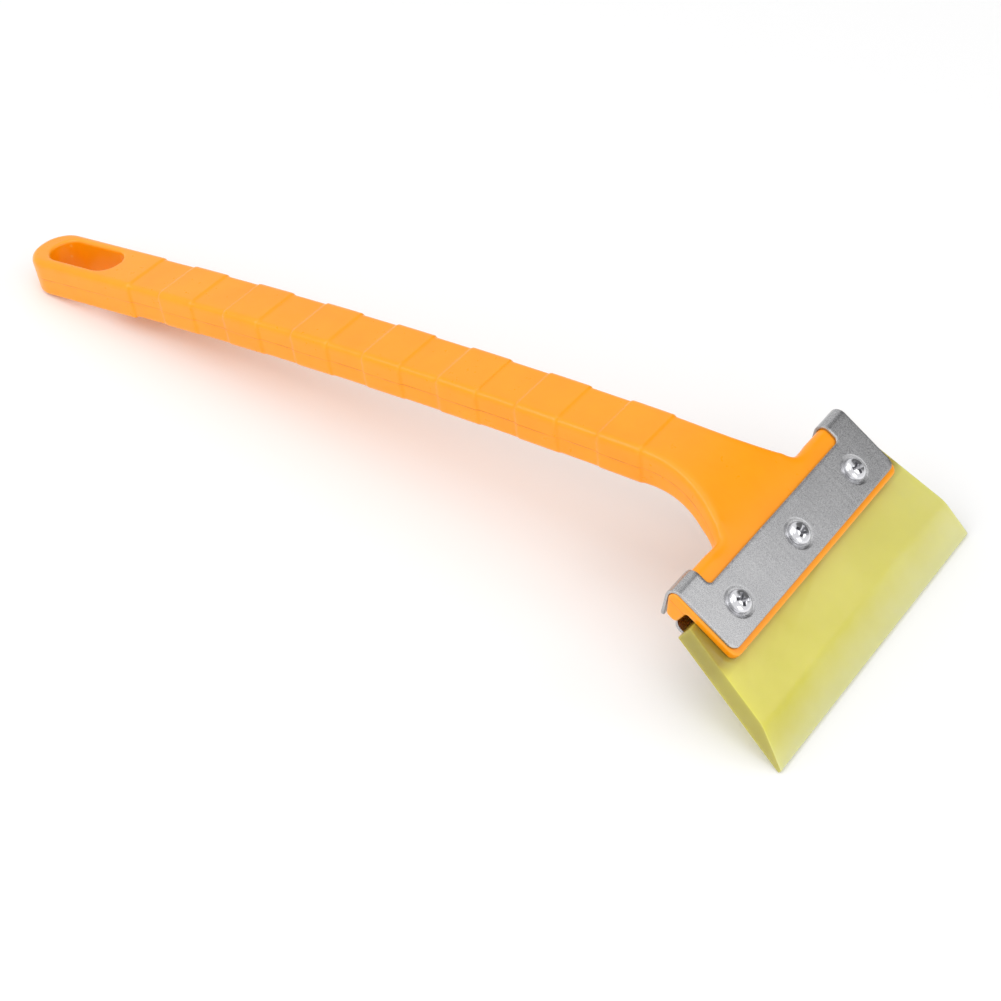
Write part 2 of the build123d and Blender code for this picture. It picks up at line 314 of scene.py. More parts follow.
def colour(red, green, blue):
    """Linear colour from sRGB numbers of 0 to 255."""
    parts = [c / 255 for c in (red, green, blue)]
    linear = [c / 12.92 if c <= 0.04045 else ((c + 0.055) / 1.055) ** 2.4 for c in parts]
    return (*linear, 1.0)


ORANGE = colour(255, 153, 0)
ORANGE_LIGHT = colour(255, 160, 4)
SEAM_TINT = colour(214, 96, 0)
# painted highlight colour for the handle's sharp edges
EDGE_HIGHLIGHT_TINT = colour(255, 193, 92)
STEEL_DARK = colour(158, 158, 160)
STEEL_LIGHT = colour(208, 208, 209)
STEEL_CLOUD = colour(150, 150, 152)
PLATING_DARK = colour(222, 222, 226)
PLATING_LIGHT = colour(240, 240, 243)
# painted shade colour for the screws' cross recesses
RECESS_SHADE_TINT = colour(128, 128, 132)
ZINC_LIGHT = colour(196, 197, 200)
ZINC_DARK = colour(168, 170, 174)
URETHANE_LIGHT = colour(224, 217, 104)
URETHANE_DEEP = colour(216, 209, 92)
# paler tint of the thin bevel, partly painted light on and through it
URETHANE_BEVEL_LIGHT = colour(226, 226, 180)
URETHANE_PALE = colour(232, 229, 160)
# painted shadow colour of the jaw on the blade
URETHANE_JAW_SHADOW = colour(138, 108, 34)
# painted shade colour for the blade's end faces
URETHANE_END_SHADE = colour(180, 170, 88)

SEAM_HALF = 0.05  # half the width of the parting line
SEAM_FADE = 0.22  # and how far from its middle it ends
EDGE_HIGHLIGHT_START = 0.508  # pointiness from which a painted highlight makes the plastic paler
EDGE_HIGHLIGHT_FULL = 0.58
HAZE_SHIFT = 0.002  # how far the haze moves the pale front of the blade, in metres
PALE_START = -0.2  # where the blade starts to pale to the left, as a share of its width
PALE_FULL = 0.45
# where the painted shadow of the jaw begins and where it is full, back from the working edge
JAW_SHADOW_START = JAW_FRONT - 2.0
JAW_SHADOW_FULL = JAW_FRONT + 3.0


def plastic():
    """Satin orange moulding: faint mottling, fine grain, rubbed areas, a painted highlight on its
    sharp edges, parting line.
    """
    m = Shader("handle_moulded_plastic")
    mottle = m.noise(55, detail=4)
    base = m.blend(m.ramp(mottle, 0.3, 0.7), ORANGE, ORANGE_LIGHT)
    seam = m.add("ShaderNodeAttribute", attribute_name="seam").outputs["Fac"]
    line = m.ramp(m.maths("ABSOLUTE", seam), SEAM_HALF, SEAM_FADE, 1.0, 0.0)
    broken = m.maths("MULTIPLY", line, m.ramp(m.noise(90), 0.42, 0.58, 0.4, 1.0))
    base = m.blend(m.maths("MULTIPLY", broken, 0.6), base, SEAM_TINT)
    rubbed = m.ramp(m.noise(70, detail=2), 0.45, 0.7)
    pointiness = m.add("ShaderNodeNewGeometry").outputs["Pointiness"]
    # painted highlight: the sharpest edges blend towards a pale tint
    edge = m.ramp(pointiness, EDGE_HIGHLIGHT_START, EDGE_HIGHLIGHT_FULL)
    base = m.blend(m.maths("MULTIPLY", edge, 0.45), base, EDGE_HIGHLIGHT_TINT)
    rough = m.ramp(m.noise(420, detail=5), 0.25, 0.75, 0.26, 0.33)
    rough = m.maths("ADD", rough, m.maths("MULTIPLY", rubbed, 0.05))
    relief = m.bump(m.noise(2600, detail=3), 0.00002, 0.15)
    relief = m.bump(m.noise(120, detail=2), 0.0006, 0.12, onto=relief)
    relief = m.bump(broken, 0.00015, 0.7, onto=relief)
    m.set(Base_Color=base, Roughness=rough, Normal=relief, IOR=1.5)
    m.set(Specular_IOR_Level=0.36, Coat_Weight=0.15, Coat_Roughness=0.12)
    return m.material


def rolled_steel():
    """Galvanised sheet: fine bright and dark grain, faint rolling lines, a few fine scratches."""
    m = Shader("clamp_rolled_steel")
    speckle = m.noise(3200, detail=5, roughness=0.8)
    lines = m.noise(900, detail=4, stretch=(0.03, 1.0, 1.0))
    cloud = m.noise(38, detail=2)
    mixed = m.maths("ADD", m.maths("MULTIPLY", speckle, 0.9), m.maths("MULTIPLY", lines, 0.1))
    base = m.blend(m.ramp(mixed, 0.4, 0.6), STEEL_DARK, STEEL_LIGHT)
    base = m.blend(m.ramp(cloud, 0.3, 0.7, 0.0, 0.3), base, STEEL_CLOUD)
    scratch = m.ramp(m.noise(1400, detail=2, stretch=(0.02, 0.9, 1.0), distortion=0.4), 0.68, 0.71)
    rough = m.ramp(mixed, 0.35, 0.65, 0.2, 0.36)
    rough = m.maths("SUBTRACT", rough, m.maths("MULTIPLY", scratch, 0.08))
    relief = m.bump(mixed, 0.00003, 0.6)
    relief = m.bump(scratch, 0.00001, 0.4, onto=relief)
    m.set(Base_Color=base, Metallic=1.0, Roughness=rough, Normal=relief)
    return m.material


def chrome():
    """Bright nickel plating with faint polishing marks, rougher inside the cross recess and darkened
    there by painted shade.
    """
    m = Shader("screw_bright_plating")
    marks = m.noise(3000, detail=3)
    base = m.blend(m.ramp(marks, 0.3, 0.7), PLATING_DARK, PLATING_LIGHT)
    recess = m.add("ShaderNodeAttribute", attribute_name="recess").outputs["Fac"]
    # painted shade: the cross recess is darkened
    base = m.blend(m.maths("MULTIPLY", recess, 0.6), base, RECESS_SHADE_TINT)
    rough = m.ramp(m.noise(1500, detail=4), 0.3, 0.7, 0.07, 0.17)
    rough = m.maths("ADD", rough, m.maths("MULTIPLY", recess, 0.2))
    relief = m.bump(marks, 0.00001, 0.3)
    m.set(Base_Color=base, Metallic=1.0, Roughness=rough, Normal=relief)
    return m.material


def zinc():
    """Dull zinc plating with small crystals."""
    m = Shader("nut_zinc_plating")
    inputs = {"Vector": m.coordinates, "Scale": 1800.0}
    cells = m.add("ShaderNodeTexVoronoi", inputs).outputs["Distance"]
    base = m.blend(m.ramp(cells, 0.0, 0.7), ZINC_LIGHT, ZINC_DARK)
    rough = m.ramp(m.noise(900, detail=4), 0.3, 0.7, 0.25, 0.45)
    m.set(Base_Color=base, Metallic=1.0, Roughness=rough, Normal=m.bump(cells, 0.00002, 0.4))
    return m.material


def urethane():
    """Milky, translucent yellow-green polyurethane, paler towards its working edge (painted light on
    the thin bevel) and its left; painted shadow under the jaw, painted shade on its end faces.
    """
    m = Shader("blade_polyurethane")
    haze = m.noise(45, detail=3)
    base = m.blend(m.ramp(haze, 0.3, 0.7), URETHANE_LIGHT, URETHANE_DEEP)
    from_edge = m.maths("SUBTRACT", CORNER.dot(FORWARD), m.along(FORWARD))
    cloudy = m.maths("ADD", from_edge, m.ramp(haze, 0.3, 0.7, -HAZE_SHIFT, HAZE_SHIFT))
    # painted light: the thin bevel grows paler towards the working edge
    thin_bevel_light = m.ramp(cloudy, 0.0, BEVEL_LENGTH * MM, 1.0, 0.0)
    base = m.blend(m.maths("MULTIPLY", thin_bevel_light, 0.7), base, URETHANE_BEVEL_LIGHT)
    start, full = PALE_START * EDGE_WIDTH * MM, PALE_FULL * EDGE_WIDTH * MM
    pale = m.ramp(m.along(LEFT), start, full, 0.0, 0.5)
    base = m.blend(pale, base, URETHANE_PALE)
    # painted shadow: the blade darkens to olive at and behind the jaw's front
    jaw_shadow = m.ramp(from_edge, JAW_SHADOW_START * MM, JAW_SHADOW_FULL * MM)
    base = m.blend(m.maths("MULTIPLY", jaw_shadow, 0.7), base, URETHANE_JAW_SHADOW)
    # painted shade: faces that look sideways, the blade's end faces, are darker
    normal = m.add("ShaderNodeNewGeometry").outputs["Normal"]
    sideways = m.add("ShaderNodeVectorMath", {0: normal, 1: LEFT}, operation="DOT_PRODUCT")
    end_face_shade = m.ramp(m.maths("ABSOLUTE", sideways.outputs["Value"]), 0.5, 0.9)
    base = m.blend(m.maths("MULTIPLY", end_face_shade, 0.8), base, URETHANE_END_SHADE)
    rough = m.ramp(m.noise(700, detail=5), 0.3, 0.7, 0.14, 0.22)
    relief = m.bump(m.noise(70, detail=2), 0.0004, 0.08)
    relief = m.bump(m.noise(1500, detail=3), 0.00001, 0.15, onto=relief)
    m.set(Base_Color=base, Roughness=rough, Normal=relief, IOR=1.45)
    m.set(Transmission_Weight=0.15, Subsurface_Weight=0.85, Subsurface_Scale=0.006)
    m.set(Subsurface_Radius=(1.0, 0.95, 0.4))
    return m.material


# --- handle -----------------------------------------------------------------------------------

HANDLE_VOXEL = 0.45
HANDLE_ROUNDS = 5  # rounds of smoothing all over
SEAM_INNER = 7.6  # nothing nearer the middle than this has a parting line, such as the slot
SEAM_AWAY = 9.0  # distance that stands for no parting line
WEB_RADIUS = 4.5
WEB_REAR = -61.2  # the head's rear edge
WEB_FLANK = 20.6  # the neck's side where it meets the head
WEB_LOW = 4.2
WEB_HIGH = 9.9
WEB_INTO_HEAD = 2.0
WEB_INTO_NECK = 3.0
WEB_SIDE = 24.0  # sideways place of the corners that are smoothed
WEB_REACH = 7.5
WEB_ROUNDS = 90  # rounds of smoothing at the corners and the neck's upper edges
UPPER_EDGE = 1.0  # what lies higher above the parting surface belongs to the upper edges
EDGE_SOFTENING = 0.5


def neck_share(points):
    """Where each point lies along the neck's bend: 0 at the grip, 1 at the head."""
    from_centre = points[:, (0, 2)] - NECK_CENTRE
    angle = np.degrees(np.arctan2(-from_centre[:, 0], from_centre[:, 1]))
    return 1 - angle / NECK_ANGLE


def seam_distance(points):
    """How far each point lies above the mould's parting surface, halfway through the handle."""
    turn = math.radians(NECK_ANGLE)
    down = np.array((math.sin(turn), -math.cos(turn)))
    bow_centre = NECK_CENTRE + (BOW_RADIUS - NECK_RADIUS) * down
    side = points[:, (0, 2)]
    share = neck_share(points)
    thinning = np.clip(share, 0, 1) ** NECK_THINNING
    thickness = GRIP_THICKNESS + (NECK_THICKNESS - GRIP_THICKNESS) * thinning
    from_neck = np.hypot(*(side - NECK_CENTRE).T) - (NECK_RADIUS - thickness / 2)
    from_bow = np.hypot(*(side - bow_centre).T) - (BOW_RADIUS - GRIP_THICKNESS / 2)
    distance = np.where(share < 0, from_bow, from_neck)
    return np.where(np.abs(points[:, 1]) < SEAM_INNER, SEAM_AWAY, distance)


def web(side):
    """Concave corner that joins the neck's flank to the head's rear edge, as a mesh."""
    centre = (WEB_REAR - WEB_RADIUS, WEB_FLANK + WEB_RADIUS)
    arc = rounded_corner(centre, WEB_RADIUS, 0, -90, CORNER_POINTS)
    front = WEB_REAR + WEB_INTO_HEAD
    inner = WEB_FLANK - WEB_INTO_NECK
    outline = [(front, arc[0][1]), *arc, (arc[-1][0], inner), (front, inner)]
    return prism("web", [(s, side * y) for s, y in outline][::side], WEB_LOW, WEB_HIGH, None)


def point_array(mesh):
    """The mesh's points as rows of an array."""
    points = np.empty(len(mesh.vertices) * 3, np.float32)
    mesh.vertices.foreach_get("co", points)
    return points.reshape(-1, 3)


def soften_corners(piece):
    """Smooths the neck's upper edges and, more strongly, the corners where it meets the head."""
    points = point_array(piece.data)
    share = neck_share(points)
    outer = np.abs(points[:, 1]) > SEAM_INNER
    on_edges = outer & (share > 0) & (share < 1) & (seam_distance(points) > UPPER_EDGE)
    weights = np.where(on_edges, EDGE_SOFTENING * np.sin(np.pi * share), 0)
    for side in (1, -1):
        reach = np.hypot(points[:, 0] - WEB_REAR, points[:, 1] - side * WEB_SIDE)
        weights = np.maximum(weights, 1 - (reach / WEB_REACH) ** 2)
    group = piece.vertex_groups.new(name="softened")
    for index in np.nonzero(weights > 0)[0]:
        group.add([int(index)], float(weights[index]), "REPLACE")
    modify(piece, "SMOOTH", factor=0.5, iterations=WEB_ROUNDS, vertex_group="softened")
    apply_all(piece)


def build_handle(material):
    """The moulding, rebuilt at a fine even mesh so that its steps and corners are softly rounded."""
    mesh = frame["nodes"]["handle"].data.copy()
    mesh.transform(TO_ROW.inverted())
    blank = bmesh.new()
    blank.from_mesh(mesh)
    for side in (1, -1):
        corner = web(side)
        blank.from_mesh(corner.data)
        bpy.data.objects.remove(corner)
    blank.to_mesh(mesh)
    blank.free()
    piece = link("handle_moulding", mesh, material)
    modify(piece, "REMESH", mode="VOXEL", voxel_size=HANDLE_VOXEL, adaptivity=0.0)
    modify(piece, "SMOOTH", factor=0.5, iterations=HANDLE_ROUNDS)
    apply_all(piece)
    soften_corners(piece)
    mesh = piece.data
    seam = mesh.attributes.new("seam", "FLOAT", "POINT")
    seam.data.foreach_set("value", seam_distance(point_array(mesh)).astype(np.float32))
    mesh.polygons.foreach_set("use_smooth", [True] * len(mesh.polygons))
    return settle(piece, "handle_head", "handle_plastic", "handle")


# --- clamp plates -----------------------------------------------------------------------------

OUTLINE_STEP = 1.0
# Radii of the rings of points round a screw, closest where a dish slopes.
DISH_RINGS = (3.2, 3.8, 4.2, 4.5, 4.7, 4.9, 5.1, 5.3, 5.5, 5.7, 6.2, 6.8)
DISH_CLEAR = 7.4  # the even grid of points keeps this far from a screw
RIM_CLEAR = 0.55  # and this far from the outline
BEND_ROWS = 18
LIP_ROWS = 8
GRID_HALF = 50  # points of a row to each side of the middle
GRID_STEP = 1.02
JOIN_DISTANCE = 1e-5  # points nearer each other than this are one
SHEET_ROUND = 0.16
STRIP_ROUND = 0.18
PLATE_ROUND_ANGLE = 50.0  # edges sharper than this, in degrees, are rounded


def plate_outline():
    """Developed outline of the top plate: u runs back from the front edge over the tabs' bend."""
    half = PLATE_WIDTH / 2
    notch = NOTCH_REAR - PLATE_FRONT
    end = TAB_FLAT + TAB_ARC + TAB_LIP
    inner = half - TAB_WIDTH
    tip = end - TAB_CORNER
    centre = (PLATE_CORNER, half - PLATE_CORNER)
    right = rounded_corner(centre, PLATE_CORNER, 180, 90, SHEET_FRONT_POINTS)
    right += rounded_corner((tip, half - TAB_CORNER), TAB_CORNER, 90, 0, TAB_CORNER_POINTS)
    right += rounded_corner((tip, inner + TAB_CORNER), TAB_CORNER, 0, -90, TAB_CORNER_POINTS)
    centre = (notch + NOTCH_CORNER, inner - NOTCH_CORNER)
    right += rounded_corner(centre, NOTCH_CORNER, 90, 180, CORNER_POINTS)
    return right + [(u, -v) for u, v in reversed(right)]


def plate_point(u, v, drop):
    """Point of the bent plate's outer face, or drop below it."""
    if u <= TAB_FLAT:
        return (-PLATE_FRONT - u, v, PLATE_TOP - drop)
    turn = min((u - TAB_FLAT) / TAB_RADIUS, math.radians(90 + TAB_LEAN))
    past = max(u - TAB_FLAT - TAB_ARC, 0.0)
    radius = TAB_RADIUS - drop
    s = TAB_BEND[0] - radius * math.sin(turn) + past * math.sin(math.radians(TAB_LEAN))
    h = TAB_BEND[1] + radius * math.cos(turn) - past * math.cos(math.radians(TAB_LEAN))
    return (s, v, h)


def from_screw(u, v):
    """Distance of a point of the flat sheet from the nearest screw's axis."""
    return min(math.hypot(u - (SCREW_BACK - PLATE_FRONT), v - y) for y in SCREWS.values())


def dish(u, v):
    """Depth of the pressed dishes round the screws."""
    share = min(max((DISH_RIM - from_screw(u, v)) / DISH_SLOPE, 0.0), 1.0)
    return DISH_DEPTH * share * share * (3 - 2 * share)


def densify(outline, step):
    """Adds points along straight runs longer than step."""
    points = []
    for (u0, v0), (u1, v1) in zip(outline, outline[1:] + outline[:1]):
        count = max(1, round(math.dist((u0, v0), (u1, v1)) / step))
        points += [(u0 + (u1 - u0) * i / count, v0 + (v1 - v0) * i / count) for i in range(count)]
    return points


def inside(point, outline):
    """Even-odd test of a point in a closed outline."""
    u, v = point
    hit = False
    for (u0, v0), (u1, v1) in zip(outline, outline[1:] + outline[:1]):
        if (v0 > v) != (v1 > v) and u < u0 + (v - v0) / (v1 - v0) * (u1 - u0):
            hit = not hit
    return hit


def sheet_faces(outline, holes, fill):
    """Constrained triangulation of an outline with holes and fill points."""
    points = list(outline)
    edges = [(i, (i + 1) % len(outline)) for i in range(len(outline))]
    for hole in holes:
        first = len(points)
        points += hole
        edges += [(first + i, first + (i + 1) % len(hole)) for i in range(len(hole))]
    points += fill
    made = geometry.delaunay_2d_cdt([Vector(p) for p in points], edges, [], 0, JOIN_DISTANCE)
    flat = [tuple(p) for p in made[0]]
    faces = []
    for face in made[2]:
        middle = [sum(flat[i][axis] for i in face) / len(face) for axis in (0, 1)]
        if inside(middle, outline) and not any(inside(middle, hole) for hole in holes):
            faces.append(tuple(face))
    return flat, faces


def build_top_plate(material):
    """Steel plate with pressed dishes, bent tabs and eased edges."""
    outline = densify(plate_outline(), OUTLINE_STEP)
    seats = [(SCREW_BACK - PLATE_FRONT, y) for y in SCREWS.values()]
    holes = [circle(seat, HOLE_RADIUS, HOLE_POINTS) for seat in seats]
    fill = [p for seat in seats for radius in DISH_RINGS for p in circle(seat, radius, HOLE_POINTS)]
    flat_lines = [float(i) for i in range(1, int(TAB_FLAT))]
    bend_lines = [TAB_FLAT + TAB_ARC * i / BEND_ROWS for i in range(BEND_ROWS + 1)]
    lip_lines = [TAB_FLAT + TAB_ARC + i for i in range(1, LIP_ROWS + 1)]
    across = [v * GRID_STEP for v in range(-GRID_HALF, GRID_HALF + 1)]
    for u in flat_lines + bend_lines + lip_lines:
        for v in across:
            clear = from_screw(u, v) > DISH_CLEAR
            roomy = min(math.dist((u, v), p) for p in outline) > RIM_CLEAR
            if clear and roomy and inside((u, v), outline):
                fill.append((u, v))
    flat, faces = sheet_faces(outline, holes, fill)
    points = [plate_point(u, v, dish(u, v)) for u, v in flat]
    mesh = new_mesh("top_clamp_plate_sheet", points, faces)
    piece = link("top_clamp_plate_sheet", mesh, material)
    face_outward(piece, Vector((0, 0, 1)))
    modify(piece, "SOLIDIFY", thickness=PLATE_THICKNESS, offset=-1.0, use_even_offset=True)
    round_edges(piece, SHEET_ROUND, 3, PLATE_ROUND_ANGLE)
    shade_smooth(piece, SMOOTH_ANGLE)
    return settle(piece, "handle_head", "clamp_steel", "top_clamp_plate")


def face_outward(piece, direction):
    """Turns a mesh's faces so that its foremost face looks along a direction."""
    sheet = bmesh.new()
    sheet.from_mesh(piece.data)
    bmesh.ops.recalc_face_normals(sheet, faces=sheet.faces)
    sheet.faces.ensure_lookup_table()
    foremost = max(sheet.faces, key=lambda face: face.calc_center_median().x)
    if foremost.normal.dot(direction) < 0:
        bmesh.ops.reverse_faces(sheet, faces=sheet.faces)
    sheet.to_mesh(piece.data)
    sheet.free()


def build_lower_plate(material):
    """Steel strip under the blade, with rounded corners and three holes."""
    half = LOWER_WIDTH / 2 - PLATE_CORNER
    rear = -JAW_FRONT - LOWER_DEPTH + PLATE_CORNER
    front = -JAW_FRONT - PLATE_CORNER
    outline = []
    centres = ((front, half), (rear, half), (rear, -half), (front, -half))
    for centre, start in zip(centres, (0, 90, 180, 270)):
        outline += rounded_corner(centre, PLATE_CORNER, start, start + 90, CORNER_POINTS)
    low = LOWER_TOP - LOWER_THICKNESS
    piece = prism("lower_clamp_strip", outline, low, LOWER_TOP, material)
    holes = [circle((-SCREW_BACK, y), HOLE_RADIUS, HOLE_POINTS) for y in SCREWS.values()]
    span = (low - CLEARANCE, LOWER_TOP + CLEARANCE)
    cut(piece, [prism("hole", hole, *span, material) for hole in holes])
    round_edges(piece, STRIP_ROUND, 3, PLATE_ROUND_ANGLE)
    shade_smooth(piece, SMOOTH_ANGLE)
    return settle(piece, "clamp_bar", "clamp_steel", "lower_clamp_plate")


# --- blade ------------------------------------------------------------------------------------

SLOT_PAST = 5.0  # how far a slot's cutter reaches past the rear


def build_blade(material):
    """Flared slab with a long bevel to its working edge, open slots and eased edges."""
    flare = math.tan(math.radians(BLADE_FLARE))
    draft = math.tan(math.radians(BLADE_DRAFT))
    crease = Vector((-BEVEL_LENGTH, BLADE_THICKNESS))
    front = crease + (Vector((0, EDGE_THICKNESS)) - crease).normalized() * CREASE_LENGTH
    rear = crease - Vector((CREASE_LENGTH, 0))
    profile = [(-BLADE_LENGTH, 0), (0, 0), (0, EDGE_THICKNESS)]
    for step in range(CREASE_POINTS + 1):
        share = step / CREASE_POINTS
        profile.append(tuple(front.lerp(crease, share).lerp(crease.lerp(rear, share), share)))
    profile.append((-BLADE_LENGTH, BLADE_THICKNESS))
    points = []
    for side in (1, -1):
        for s, h in profile:
            points.append((s, side * (EDGE_WIDTH / 2 + s * flare - h * draft), h))
    count = len(profile)
    faces = [tuple(range(count)), tuple(range(2 * count - 1, count - 1, -1))]
    faces += [(i, count + i, count + (i + 1) % count, (i + 1) % count) for i in range(count)]
    piece = link("blade_slab", new_mesh("blade_slab", points, faces), material)
    face_outward(piece, Vector((1, 0, 0)))
    cutters = []
    past = -BLADE_LENGTH - SLOT_PAST
    for y in SCREWS.values():
        arc = rounded_corner((-SCREW_BACK, y), BLADE_SLOT / 2, 90, -90, SLOT_POINTS)
        outline = [(past, y + BLADE_SLOT / 2), *arc, (past, y - BLADE_SLOT / 2)]
        cutters.append(prism("slot", outline[::-1], -CLEARANCE, BLADE_THICKNESS + CLEARANCE, material))
    cut(piece, cutters)
    round_edges(piece, BLADE_ROUND, 4, BLADE_ROUND_ANGLE)
    shade_smooth(piece, SMOOTH_ANGLE)
    return settle(piece, "blade", "blade_urethane", "blade")


# --- screws and nuts --------------------------------------------------------------------------

SHANK_RADIUS = 2.0
SHANK_LENGTH = 16.0
THREAD_PITCH = 0.7
THREAD_DEPTH = 0.36
THREAD_GROOVE = 0.42  # half the width of the groove, as a share of the pitch
THREAD_ROWS = 8  # rows of points to one pitch
PLAIN_LENGTH = 0.4  # length without a thread under the head
FADE_LENGTH = 0.8  # length over which the thread then reaches its full depth
TIP_LENGTH = 0.5
TIP_THREAD = 0.35  # share of the thread's depth that is left at the tip
TIP_SLOPE = 0.9
HEAD_RADIUS = 4.0
HEAD_HEIGHT = 2.4
HEAD_RIM = ((0.25, 0.0), (0.08, 0.06), (0.0, 0.22))  # distance in from the rim, and height
HEAD_SHOULDER = 0.75  # height where the dome begins
HEAD_EDGE_POINTS = 1 + len(HEAD_RIM)
DOME_POINTS = 12
DOME_SIDE_POWER = 0.72  # this and the next flatten the dome, which is round at 1 and 1
DOME_TOP_POWER = 1.05
CROWN_RADII = (0.3, 0.02)  # the last rings of points, on the flat of the crown
HEAD_POINTS = 40  # points round the screw
HEAD_SMOOTH_ANGLE = 38.0
# The cross recess: depth, span and width of its wings, and depth and radius of its middle.
RECESS_WING = ((-1.0, 6.0, 1.5), (0.0, 5.0, 1.2), (1.0, 3.2, 0.85), (1.75, 1.2, 0.6))
RECESS_CONE = ((1.95, 0.1), (-1.0, 1.75))
CONE_POINTS = 20
RECESS_MARGIN = 0.12  # how far below the crown a face of the recess lies at least
RECESS_REACH = 2.8
SCREW_TURNS = {"left": 68.0, "centre": 22.0, "right": 50.0}


def ring_mesh(name, rings):
    """Closed mesh through rings of points, capped by a fan at each end."""
    count = len(rings[0])
    points = [p for ring in rings for p in ring]
    faces = []
    for row in range(len(rings) - 1):
        low = row * count
        high = low + count
        for i in range(count):
            j = (i + 1) % count
            faces.append((low + i, low + j, high + j, high + i))
    faces.append(tuple(range(count))[::-1])
    last = (len(rings) - 1) * count
    faces.append(tuple(range(last, last + count)))
    return new_mesh(name, points, faces)


def thread_radius(turn, height):
    """Radius of the rolled thread, which fades out at the tip and under the head."""
    phase = (height / THREAD_PITCH - turn / (2 * math.pi)) % 1.0
    groove = max(0.0, 1 - abs(phase - 0.5) / THREAD_GROOVE)
    from_tip = SHANK_LENGTH + height
    under_head = (-height - PLAIN_LENGTH) / FADE_LENGTH
    fade = min(1.0, under_head, from_tip / TIP_LENGTH + TIP_THREAD)
    tip = max(0.0, TIP_LENGTH - from_tip) * TIP_SLOPE
    return SHANK_RADIUS - THREAD_DEPTH * groove * max(fade, 0.0) - tip


def head_profile():
    """Pan head from its underside's rim to its crown: radius and height."""
    edge = [(SHANK_RADIUS, 0.0)] + [(HEAD_RADIUS - inset, height) for inset, height in HEAD_RIM]
    dome = []
    for i in range(DOME_POINTS):
        turn = math.radians(90 * i / DOME_POINTS)
        radius = HEAD_RADIUS * math.cos(turn) ** DOME_SIDE_POWER
        rise = (HEAD_HEIGHT - HEAD_SHOULDER) * math.sin(turn) ** DOME_TOP_POWER
        dome.append((radius, HEAD_SHOULDER + rise))
    return edge + dome + [(radius, HEAD_HEIGHT) for radius in CROWN_RADII]


def cross_recess(material):
    """Cutter for the cross recess: two tapered wings and a pointed middle."""
    cutters = []
    for turn in (0, 90):
        rings = []
        for depth, span, width in RECESS_WING:
            x, y, z = span / 2, width / 2, HEAD_HEIGHT - depth
            rings.append([(x, -y, z), (x, y, z), (-x, y, z), (-x, -y, z)])
        wing = link("wing", ring_mesh("wing", rings[::-1]), material)
        wing.data.transform(Matrix.Rotation(math.radians(turn), 4, "Z"))
        cutters.append(wing)
    rings = []
    for depth, radius in RECESS_CONE:
        around = circle((0, 0), 1, CONE_POINTS)
        rings.append([(radius * x, radius * y, HEAD_HEIGHT - depth) for x, y in around])
    cutters.append(link("cone", ring_mesh("cone", rings), material))
    return cutters


def mark_recess(mesh):
    """Marks the faces that lie below the screw head's crown and inside its rim."""
    profile = sorted(head_profile()[HEAD_EDGE_POINTS:])
    radii = [radius for radius, height in profile]
    heights = [height for radius, height in profile]
    marks = mesh.attributes.new("recess", "FLOAT", "FACE")
    for face, mark in zip(mesh.polygons, marks.data):
        middle = face.center
        radius = math.hypot(middle.x, middle.y)
        sunk = np.interp(radius, radii, heights) - middle.z > RECESS_MARGIN
        mark.value = float(sunk and middle.z > 0 and radius < RECESS_REACH)


def build_screw(side, material):
    """Pan-head screw with a rolled thread and a cross recess."""
    name = "screw_" + side + "_body"
    turns = [2 * math.pi * i / HEAD_POINTS for i in range(HEAD_POINTS)]
    rows = int(SHANK_LENGTH / THREAD_PITCH * THREAD_ROWS)
    rings = []
    for row in range(rows):
        height = -SHANK_LENGTH * (1 - row / rows)
        radii = [thread_radius(turn, height) for turn in turns]
        rings.append([(r * math.cos(t), r * math.sin(t), height) for r, t in zip(radii, turns)])
    for radius, height in head_profile():
        rings.append([(radius * math.cos(t), radius * math.sin(t), height) for t in turns])
    piece = link(name, ring_mesh(name, rings), material)
    cut(piece, cross_recess(material))
    mark_recess(piece.data)
    shade_smooth(piece, HEAD_SMOOTH_ANGLE)
    turned = Matrix.Rotation(math.radians(SCREW_TURNS[side]), 4, "Z")
    piece.data.transform(Matrix.Translation((-SCREW_BACK, SCREWS[side], SCREW_SEAT)) @ turned)
    return settle(piece, "screw_" + side, "screw_chrome", "screw_" + side)


# --- stage, light and camera ------------------------------------------------------------------

CAMERA_AIM = (0.0643, -0.0384, 0.0319)
CAMERA_DISTANCE = 0.68
CAMERA_AZIMUTH = 36.506
CAMERA_ELEVATION = 42.115
CAMERA_ROLL = -1.821
CAMERA_LENS = 75.52
CAMERA_NEAR = 0.01
FLOOR_HALF = 4.0
FLOOR_SHADE = 0.93
FLOOR_ROUGHNESS = 0.9
WORLD_STRENGTH = 0.85
CARD_STRENGTH = 0.15
CARD_DIRECTION = (0.2, 0.9, 0.4)
CARD_START = 0.86  # cosine of the angle from the card's middle to where it fades out
CARD_FULL = 0.93  # and to where it is fully dark

# Each softbox: its place and size in metres, and its power in watts.
SOFTBOXES = {
    "key_light": ((-0.55, -0.75, 1.1), (1.0, 0.7), 5.0),
    "back_light": ((1.05, 0.75, 0.95), (0.6, 0.6), 1.2),
    "front_light": ((1.3, -0.5, 0.6), (0.8, 0.8), 3.0),
    "top_light": ((0.0, 0.1, 1.6), (1.4, 1.0), 3.0),
}


